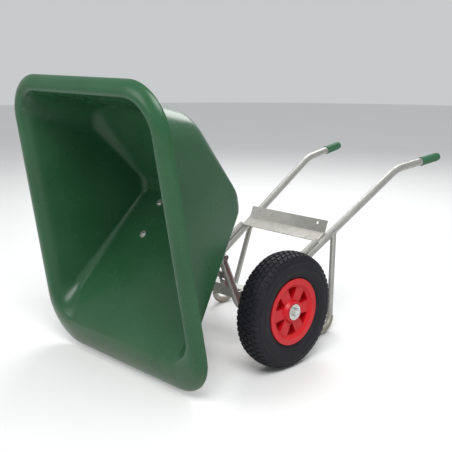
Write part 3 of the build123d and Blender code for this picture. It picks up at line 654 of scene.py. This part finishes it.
@dataclass
class Tyre:
    """One pneumatic tyre, carcass and tread blocks.

    Sizes are in metres; the tyre is centred on its own axle point, its axis along Y.
    """

    side: Side
    axle_height: float = 0.200
    offset: float = 0.352
    radius: float = 0.200
    bead: float = 0.1015
    carcass: float = 0.1955
    block_count: int = 58
    rows: Tuple[float, ...] = (-0.0335, -0.0168, 0.0, 0.0168, 0.0335)
    block_width: float = 0.0135
    segments: int = 144

    def point(self, radius: float, across: float, turn: float) -> Vector:
        """A point of the wheel.

        Args:
            radius: distance from the axle.
            across: distance from the wheel's middle plane.
            turn: angle round the axle in radians.

        Returns:
            The point in the frame.
        """
        return Vector((radius * math.sin(turn), self.side.value * self.offset + across,
                       self.axle_height + radius * math.cos(turn)))

    def crown(self, across: float) -> float:
        """The tread's top radius at a place across the tyre.

        Args:
            across: distance from the middle plane.

        Returns:
            The radius.
        """
        return self.radius - 0.0002 - 5.6 * across * across

    def profile(self) -> List[Tuple[float, float]]:
        """Half of the closed section, as radius and offset, from crown round the bead to inside.

        Returns:
            The section's points, both halves.
        """
        outer = [
            (self.carcass, 0.0), (self.carcass - 0.0009, 0.012), (self.carcass - 0.0030, 0.024),
            (self.carcass - 0.0062, 0.034), (0.1860, 0.0405), (0.1830, 0.0432), (0.1815, 0.0430),
            (0.1745, 0.0466), (0.1700, 0.0478), (0.1685, 0.0490), (0.1668, 0.0482), (0.1580, 0.0492),
            (0.1480, 0.0495), (0.1380, 0.0486), (0.1300, 0.0464), (0.1282, 0.0472), (0.1262, 0.0470),
            (0.1245, 0.0448), (0.1190, 0.0408), (0.1150, 0.0372), (0.1140, 0.0359), (self.bead, 0.0359),
            (self.bead, 0.0225), (0.1200, 0.0330), (0.1480, 0.0425), (0.1750, 0.0370), (0.1850, 0.0250),
            (0.1890, 0.0),
        ]
        return outer + [(r, -y) for r, y in reversed(outer[1:-1])]

    def build(self, palette: Palette) -> bpy.types.Object:
        """Makes the tyre.

        Args:
            palette: the materials.

        Returns:
            The object.
        """
        mesh = Mesh("tyre_visual_" + self.side.word)
        section = self.profile()
        rings = [
            [self.point(r, y, 2 * math.pi * k / self.segments) for r, y in section]
            for k in range(self.segments)
        ]
        mesh.skin(rings, closed=True)
        pitch = 2 * math.pi / self.block_count
        for number, across in enumerate(self.rows):
            stagger = pitch / 2 if number % 2 else 0.0
            for index in range(self.block_count):
                self.tread_block(mesh, across, index * pitch + stagger, pitch)
        self.shoulder_lugs(mesh, pitch)
        body = Body.WHEEL_LEFT if self.side is Side.LEFT else Body.WHEEL_RIGHT
        return mesh.finish(body, "tyre", palette, ["tyre_" + self.side.word])

    def tread_block(self, mesh: Mesh, across: float, turn: float, pitch: float) -> None:
        """One tapered tread block.

        Args:
            mesh: where it is added.
            across: its row.
            turn: its angle round the tyre.
            pitch: the angle between blocks.
        """
        corners: List[Vector] = []
        for top in (False, True):
            half_width = self.block_width / 2 * (0.84 if top else 1.0)
            half_turn = pitch * (0.30 if top else 0.37)
            for way, sign in ((-1, -1), (1, -1), (1, 1), (-1, 1)):
                y = across + way * half_width
                skew = 0.10 * pitch * (1 if across >= 0 else -1) * way
                radius = self.crown(y) if top else self.carcass - 0.0022 - 5.0 * y * y
                corners.append(self.point(radius, y, turn + sign * half_turn + skew))
        mesh.block(corners)

    def shoulder_lugs(self, mesh: Mesh, pitch: float) -> None:
        """The small lugs down each shoulder.

        Args:
            mesh: where they are added.
            pitch: the angle between lugs.
        """
        for way in (-1, 1):
            for index in range(self.block_count):
                turn = (index + 0.25) * pitch
                corners: List[Vector] = []
                for raise_by in (-0.0016, 0.0012):
                    for r, y, sign in ((0.1892, 0.0393, -1), (0.1892, 0.0393, 1), (0.1795, 0.0440, 1),
                                       (0.1795, 0.0440, -1)):
                        half = pitch * (0.24 if raise_by > 0 else 0.30)
                        out = raise_by * 0.7
                        corners.append(self.point(r + out, way * (y + out), turn + sign * half))
                mesh.block(corners)


# ------------------------------------------------------------------ grips


@dataclass
class Grip:
    """One hand grip with finger rings, a collar and a domed end."""

    side: Side
    bore: float = 0.01505
    length: float = 0.112
    ring_count: int = 11
    ring_height: float = 0.0011
    sides: int = 40

    def build(self, palette: Palette) -> bpy.types.Object:
        """Makes the grip along the record's grip mount.

        Args:
            palette: the materials.

        Returns:
            The object.
        """
        mount = next(m for m in frame["record"]["mounts"] if m["name"] == "grip_" + self.side.word)
        axis = Vector(mount["axis"]).normalized()
        middle = Vector(mount["pos_m"])
        first, second = basis(axis)
        mesh = Mesh("grip_visual_" + self.side.word)
        rings: List[List[Vector]] = []
        for along, size in self.profile():
            rings.append(round_points(middle + axis * along, first, second, size, self.sides))
        mesh.skin(rings, closed=False)
        return mesh.finish(Body.CHASSIS, "grip_green", palette, ["grip_" + self.side.word])

    def profile(self) -> List[Tuple[float, float]]:
        """The radius along the grip, from the tube side to the closed end.

        Returns:
            Pairs of place along the mount's axis and radius.
        """
        start, end = -self.length / 2, self.length / 2 + 0.0035
        skin = self.bore + 0.0022
        points = [(start, self.bore), (start, skin + 0.0008), (start + 0.0008, skin + 0.0014),
                  (start + 0.0055, skin + 0.0014), (start + 0.0065, skin)]
        span = (end - 0.016) - (start + 0.010)
        for index in range(self.ring_count * 6 + 1):
            wave = 0.5 - 0.5 * math.cos(2 * math.pi * index / 6)
            along = start + 0.010 + span * index / (self.ring_count * 6)
            points.append((along, skin + self.ring_height * wave))
        for step in range(1, 9):
            turn = math.pi / 2 * step / 8
            size = max(skin * 0.45 + skin * 0.55 * math.cos(turn), 0.004)
            points.append((end - 0.008 + 0.008 * math.sin(turn), size))
        return points


# ------------------------------------------------------------------ hopper


@dataclass
class HopperShell:
    """The moulded hopper: one closed skin, up the inside, over the rolled lip and down the outside.

    Sizes are in metres in the hopper's own frame: along from the rear edge, depth down from the rim.
    """

    length: float = 0.976
    depth: float = 0.405
    wall: float = 0.005
    mouth_rear: float = 0.052
    mouth_front: float = 0.866
    outer_half: Tuple[float, float] = (0.390, 0.423)
    mouth_half: Tuple[float, float] = (0.333, 0.356)
    corner: Tuple[float, float] = (0.150, 0.105)
    heel: Tuple[float, float] = (0.140, 0.229)
    heel_round: float = 0.060
    heel_corner: float = 0.110
    toe: float = 0.479
    toe_round: float = 0.060
    toe_end: float = 0.032
    floor_half: float = 0.243
    floor_corner: float = 0.016
    crease: float = 0.042
    crease_depth: float = 0.070
    tip_degrees: float = 99.0
    pivot_local: Tuple[float, float] = (0.667, -0.344)
    steps: int = 16
    wall_steps: int = 34
    lip_wall: float = 0.0045
    # share of the way in from the lip's outer edge, and height over the rim plane
    lip_over: Tuple[Tuple[float, float], ...] = (
        (1.0, 0.0040), (0.96, 0.0092), (0.91, 0.0124), (0.84, 0.0148), (0.74, 0.0160), (0.62, 0.0158),
        (0.50, 0.0145), (0.38, 0.0120), (0.26, 0.0082), (0.16, 0.0036), (0.09, -0.0008), (0.04, -0.0050),
        (0.01, -0.0090), (0.0, -0.0120),
    )
    lip_under: Tuple[Tuple[float, float], ...] = (
        (0.0, -0.0120), (0.03, -0.0070), (0.12, -0.0030), (0.26, 0.0030), (0.45, 0.0088), (0.66, 0.0112),
    )

    def to_frame(self) -> Matrix:
        """The move from the hopper's own frame to its tipped place.

        Returns:
            The matrix.
        """
        joint = next(j for j in frame["joints"] if j["name"] == "hopper_tip")
        own = Vector((self.pivot_local[0], 0.0, self.pivot_local[1]))
        turn = Matrix.Rotation(math.radians(self.tip_degrees), 4, "Y")
        return Matrix.Translation(Vector(joint["pos_m"])) @ turn @ Matrix.Translation(-own)

    def tilts(self) -> Tuple[float, float, float]:
        """How steep the rear wall, the floor and the front wall are.

        Returns:
            The three angles in radians.
        """
        rear = math.atan2(self.heel[1], self.heel[0] - self.mouth_rear)
        floor = math.atan2(self.depth - self.heel[1], self.toe - self.heel[0])
        return rear, floor, math.atan2(self.depth, self.mouth_front - self.toe)

    def bend(self, x: float, deep: float, before: float, after: float,
             radius: float) -> Tuple[float, float, float, float]:
        """A rounded corner of the side profile.

        Args:
            x: the sharp corner's place.
            deep: the sharp corner's depth.
            before: the tilt above it.
            after: the tilt below it.
            radius: the corner's radius.

        Returns:
            The depths where it starts and ends, and its centre's place and depth.
        """
        reach = radius * math.tan((before - after) / 2)
        return (deep - reach * math.sin(before), deep + reach * math.sin(after),
                x - reach * math.cos(before) + radius * math.sin(before),
                deep - reach * math.sin(before) - radius * math.cos(before))

    def rear_x(self, deep: float) -> float:
        """The rear wall, heel, floor and toe in the side view.

        Args:
            deep: depth below the rim plane.

        Returns:
            The place along the hopper.
        """
        rear, floor, front = self.tilts()
        start, end, centre_x, centre_deep = self.bend(*self.heel, rear, floor, self.heel_round)
        toe = self.bend(self.toe, self.depth, floor, -front, self.toe_round)
        if deep <= start:
            return between(self.mouth_rear, self.heel[0], deep / self.heel[1])
        if deep < end:
            return centre_x - math.sqrt(max(self.heel_round ** 2 - (deep - centre_deep) ** 2, 0.0))
        if deep <= toe[0]:
            return between(self.heel[0], self.toe, (deep - self.heel[1]) / (self.depth - self.heel[1]))
        return toe[2] - math.sqrt(max(self.toe_round ** 2 - (deep - toe[3]) ** 2, 0.0))

    def front_x(self, deep: float) -> float:
        """The front wall and toe in the side view.

        Args:
            deep: depth below the rim plane.

        Returns:
            The place along the hopper.
        """
        floor, front = self.tilts()[1:]
        toe = self.bend(self.toe, self.depth, floor, -front, self.toe_round)
        if deep <= toe[3] + self.toe_round * math.cos(front):
            return between(self.mouth_front, self.toe, deep / self.depth)
        return toe[2] + math.sqrt(max(self.toe_round ** 2 - (deep - toe[3]) ** 2, 0.0))

    def lowest(self) -> float:
        """The depth of the toe's lowest level outline.

        Returns:
            The depth.
        """
        floor, front = self.tilts()[1:]
        return self.bend(self.toe, self.depth, floor, -front, self.toe_round)[3] + self.toe_round - 0.001

    def outline(self, z: float, rear: float, front: float, halves: Tuple[float, float],
                radii: Tuple[float, float]) -> List[Vector]:
        """A level outline, already in its tipped place.

        Args:
            z: its height over the rim plane.
            rear: its rear edge.
            front: its front edge.
            halves: half widths at the rear and the front.
            radii: corner radii at the rear and the front.

        Returns:
            The outline's points.
        """
        corners = [Vector((rear, -halves[0], z)), Vector((front, -halves[1], z)),
                   Vector((front, halves[1], z)), Vector((rear, halves[0], z))]
        place = self.to_frame()
        order = (radii[0], radii[1], radii[1], radii[0])
        return [place @ point for point in rounded_loop(corners, order, self.steps)]

    def section(self, deep: float, inset: float) -> List[Vector]:
        """The bowl's outline at a depth.

        Args:
            deep: depth below the rim plane.
            inset: how far it is drawn in from the outside.

        Returns:
            The outline's points.
        """
        rear_tilt, floor_tilt, front_tilt = self.tilts()
        down = max(deep, 0.0)
        share = down / self.depth
        rear = self.rear_x(down) + inset / math.sin(rear_tilt if down < self.heel[1] else floor_tilt)
        front = self.front_x(down) - inset / math.sin(front_tilt)
        if down < self.heel[1]:
            back = between(self.corner[1], self.heel_corner, down / self.heel[1])
        else:
            back = between(self.heel_corner, self.floor_corner,
                           (down - self.heel[1]) / (self.depth - self.heel[1]))
        if down < self.crease_depth:
            fore = between(self.corner[1], self.crease, down / self.crease_depth)
        else:
            fore = between(self.crease, self.floor_corner,
                           (down - self.crease_depth) / (self.depth - self.crease_depth))
        widest = (front - rear) / 2 - 0.001
        into = max(0.0, (down - self.lowest() - 0.001) / self.toe_end + 1.0)
        narrow = self.toe_end * (1 - math.sqrt(max(0.0, 1 - into ** 2)))
        halves = tuple(between(half, self.floor_half, share) - inset - narrow for half in self.mouth_half)
        radii = tuple(min(max(size - inset, 0.002), widest) for size in (back, fore))
        return self.outline(-deep, rear, front, halves, radii)

    def lip(self, share: float, z: float, inset: float = 0.0) -> List[Vector]:
        """The lip's outline part of the way in from its outer edge.

        Args:
            share: 0 at the outer edge, 1 at the mouth.
            z: its height over the rim plane.
            inset: how far it is drawn in.

        Returns:
            The outline's points.
        """
        pairs = zip(self.outer_half, self.mouth_half)
        halves = tuple(between(out, into, share) - inset for out, into in pairs)
        radius = between(self.corner[0], self.corner[1], share) - inset
        return self.outline(z, between(0, self.mouth_rear, share) + inset,
                            between(self.length, self.mouth_front, share) - inset, halves, (radius, radius))

    def rings(self) -> List[List[Vector]]:
        """Every outline in order: inside up, over the lip, under it, outside down.

        Returns:
            The rings.
        """
        inner_low = self.lowest() - 1.6 * self.wall
        rings = [self.section(between(inner_low, 0.024, i / self.wall_steps), self.wall)
                 for i in range(self.wall_steps + 1)]
        rings += [self.section(deep, inset) for deep, inset in ((0.012, 0.0047), (0.004, 0.0036))]
        rings += [self.lip(share, z) for share, z in self.lip_over]
        rings += [self.lip(share, z, self.lip_wall * (1 - share)) for share, z in self.lip_under]
        rings += [self.section(between(0.002, self.lowest(), i / self.wall_steps), 0.0)
                  for i in range(self.wall_steps + 1)]
        return rings

    def build(self, palette: Palette) -> bpy.types.Object:
        """Makes the hopper in place of its CAD node.

        Args:
            palette: the materials.

        Returns:
            The object.
        """
        mesh = Mesh("hopper_visual")
        mesh.skin(self.rings(), closed=False)
        return mesh.finish(Body.HOPPER, "hopper_green", palette, ["hopper"])


# ------------------------------------------------------------------ welds


@dataclass
class Welds:
    """The weld beads of the chassis, each a rippled bead along its seam."""

    tube_radius: float = 0.015
    leg_radius: float = 0.011
    bar_radius: float = 0.0125
    bead: float = 0.0024
    ripple: float = 0.0035
    nose: Place = (0.008, 0.168, 0.122)
    bend: Place = (-0.823, 0.233, 0.571)
    pivot: Place = (0.118, 0.168, 0.370)
    leg_rear: Tuple[Place, Place] = ((-0.441, 0.2121, 0.3646), (-0.3765, 0.2559, 0.068))
    seams: List[str] = field(default_factory=list)

    def bead_along(self, name: str, path: Sequence[Vector], closed: bool, palette: Palette) -> None:
        """One bead.

        Args:
            name: the object's name.
            path: the seam.
            closed: whether it is a loop.
            palette: the materials.
        """
        points = self.resample(path, closed)
        mesh = Mesh(name)
        rings = sweep(points, lambda i: self.bead * (0.88 + 0.16 * abs(math.sin(i * 1.05))), closed, sides=10)
        mesh.skin(rings, closed)
        mesh.finish(Body.CHASSIS, "galvanised", palette)
        self.seams.append(name)

    def resample(self, path: Sequence[Vector], closed: bool) -> List[Vector]:
        """Evenly spaced points along a seam.

        Args:
            path: the seam's points.
            closed: whether it is a loop.

        Returns:
            Points about a third of a ripple apart.
        """
        whole = list(path) + ([path[0]] if closed else [])
        points: List[Vector] = []
        for here, there in zip(whole, whole[1:]):
            steps = max(1, round((there - here).length / (self.ripple / 3)))
            points.extend(here.lerp(there, step / steps) for step in range(steps))
        return points if closed else points + [whole[-1]]

    def saddle(self, start: Vector, along: Vector, radius: float, axis_point: Vector, axis: Vector,
               big: float) -> List[Vector]:
        """Where a small tube meets a larger one.

        Args:
            start: a point of the small tube's axis outside the larger tube.
            along: its direction towards the larger tube.
            radius: its radius.
            axis_point: a point of the larger tube's axis.
            axis: the larger tube's direction.
            big: the larger tube's radius.

        Returns:
            The seam's points.
        """
        first, second = basis(along)
        points: List[Vector] = []
        flat = along - axis * along.dot(axis)
        for k in range(48):
            turn = 2 * math.pi * k / 48
            edge = start + (first * math.cos(turn) + second * math.sin(turn)) * radius
            offset = edge - axis_point
            offset = offset - axis * offset.dot(axis)
            a, b, c = flat.dot(flat), 2 * flat.dot(offset), offset.dot(offset) - big * big
            inside = max(b * b - 4 * a * c, 0.0)
            points.append(edge + along * ((-b - math.sqrt(inside)) / (2 * a)))
        return points

    def build(self, palette: Palette) -> None:
        """Makes every bead on both sides.

        Args:
            palette: the materials.
        """
        for side in Side:
            marks = (self.nose, self.bend, self.pivot)
            nose, bend, pivot = (Vector((p[0], p[1] * side.value, p[2])) for p in marks)
            slope = (bend - nose).normalized()
            post = (pivot - nose).normalized()
            bar_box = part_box("crossbar")
            bar_x, bar_z = ((bar_box[0][i] + bar_box[1][i]) / 2 for i in (0, 2))
            middle = Vector((bar_x, 0.0, bar_z))
            outward = Vector((0, side.value, 0))
            ring = self.saddle(middle, outward, self.bar_radius, pivot, post, self.tube_radius)
            self.bead_along("weld_crossbar_" + side.word, ring, True, palette)
            top, low = (Vector((p[0], p[1] * side.value, p[2])) for p in self.leg_rear)
            ring = self.saddle(low, (top - low).normalized(), self.leg_radius, nose, slope, self.tube_radius)
            self.bead_along("weld_leg_" + side.word, ring, True, palette)
            self.rail_seams(side, nose, slope, palette)
            self.beam_seam(side, palette)
        LOG.info("weld beads: %s", ", ".join(self.seams))

    def rail_seams(self, side: Side, nose: Vector, slope: Vector, palette: Palette) -> None:
        """Short stitches where the rail lies on the side tube, on its outboard side.

        Args:
            side: which side.
            nose: a point of the side tube's axis.
            slope: the side tube's direction.
            palette: the materials.
        """
        up = Vector((-slope.z, 0.0, slope.x)).normalized()
        up = up if up.z > 0 else -up
        out = slope.cross(up).normalized()
        out = out if out.y * side.value > 0 else -out
        for number, distance in enumerate((0.125, 0.245, 0.365)):
            start = nose + slope * distance + up * 0.0165 + out * 0.0058
            self.bead_along(f"weld_rail_{side.word}_{number}", [start, start + slope * 0.030], False, palette)

    def beam_seam(self, side: Side, palette: Palette) -> None:
        """The bead under the beam, along the gusset's outboard face.

        Args:
            side: which side.
            palette: the materials.
        """
        beam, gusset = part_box("axle_beam"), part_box("beam_gusset_" + side.word)
        y = gusset[1][1] if side is Side.LEFT else gusset[0][1]
        z = beam[0][2]
        start = Vector((beam[0][0] + 0.003, y, z))
        end = Vector((beam[1][0] - 0.003, y, z))
        self.bead_along("weld_beam_" + side.word, [start, end], False, palette)


# ------------------------------------------------------------------ studio


@dataclass
class Studio:
    """The floor, lights and camera."""

    eye: Place = (1.866, 1.957, 1.067)
    turn_degrees: Place = (76.71, 0.0, 135.31)
    lens: float = 61.1
    floor_radius: float = 12.0
    floor_sides: int = 64

    def build(self, palette: Palette) -> None:
        """Makes the floor, lights, world and camera.

        Args:
            palette: the materials.
        """
        self.floor(palette)
        self.light("key", (1.6, 1.6, 3.0), 1.8, 105.0)
        self.light("fill", (3.2, -1.2, 1.6), 1.4, 22.0)
        self.light("back", (-2.4, -1.6, 3.0), 2.4, 80.0)
        world = bpy.data.worlds.new("studio")
        bpy.context.scene.world = world
        world.use_nodes = True
        background = world.node_tree.nodes["Background"]
        background.inputs[0].default_value = (0.93, 0.95, 0.97, 1.0)
        background.inputs[1].default_value = 0.62
        bpy.context.scene.view_settings.view_transform = "Standard"
        camera = bpy.data.objects.new("camera", bpy.data.cameras.new("camera"))
        camera.data.lens = self.lens
        camera.data.sensor_width = 36.0
        camera.location = self.eye
        camera.rotation_euler = tuple(math.radians(value) for value in self.turn_degrees)
        bpy.context.scene.collection.objects.link(camera)
        bpy.context.scene.camera = camera

    def floor(self, palette: Palette) -> None:
        """A wide round floor.

        Args:
            palette: the materials.
        """
        bm = bmesh.new()
        across, ahead = Vector((1, 0, 0)), Vector((0, 1, 0))
        edge = round_points(Vector(), across, ahead, self.floor_radius, self.floor_sides)
        rim = [bm.verts.new(point) for point in edge]
        bm.faces.new(rim)
        data = bpy.data.meshes.new("floor")
        bm.to_mesh(data)
        bm.free()
        data.materials.append(palette.ground)
        thing = bpy.data.objects.new("floor", data)
        bpy.context.scene.collection.objects.link(thing)

    def light(self, name: str, place: Place, size: float, watts: float) -> None:
        """One soft area light aimed at the barrow's middle.

        Args:
            name: the light's name.
            place: where it stands.
            size: its width.
            watts: its power.
        """
        data = bpy.data.lights.new(name, "AREA")
        data.size = size
        data.energy = watts
        thing = bpy.data.objects.new(name, data)
        thing.location = place
        thing.rotation_euler = (Vector((0.0, 0.0, 0.4)) - Vector(place)).to_track_quat("-Z", "Y").to_euler()
        bpy.context.scene.collection.objects.link(thing)


def main() -> None:
    """Builds and dresses every piece, in order."""
    logging.basicConfig(level=logging.INFO)
    palette = Palette()
    palette.dress_nodes()
    for side in Side:
        Tyre(side).build(palette)
        Grip(side).build(palette)
    HopperShell().build(palette)
    Welds().build(palette)
    Studio().build(palette)


if __name__ == "__main__":
    main()
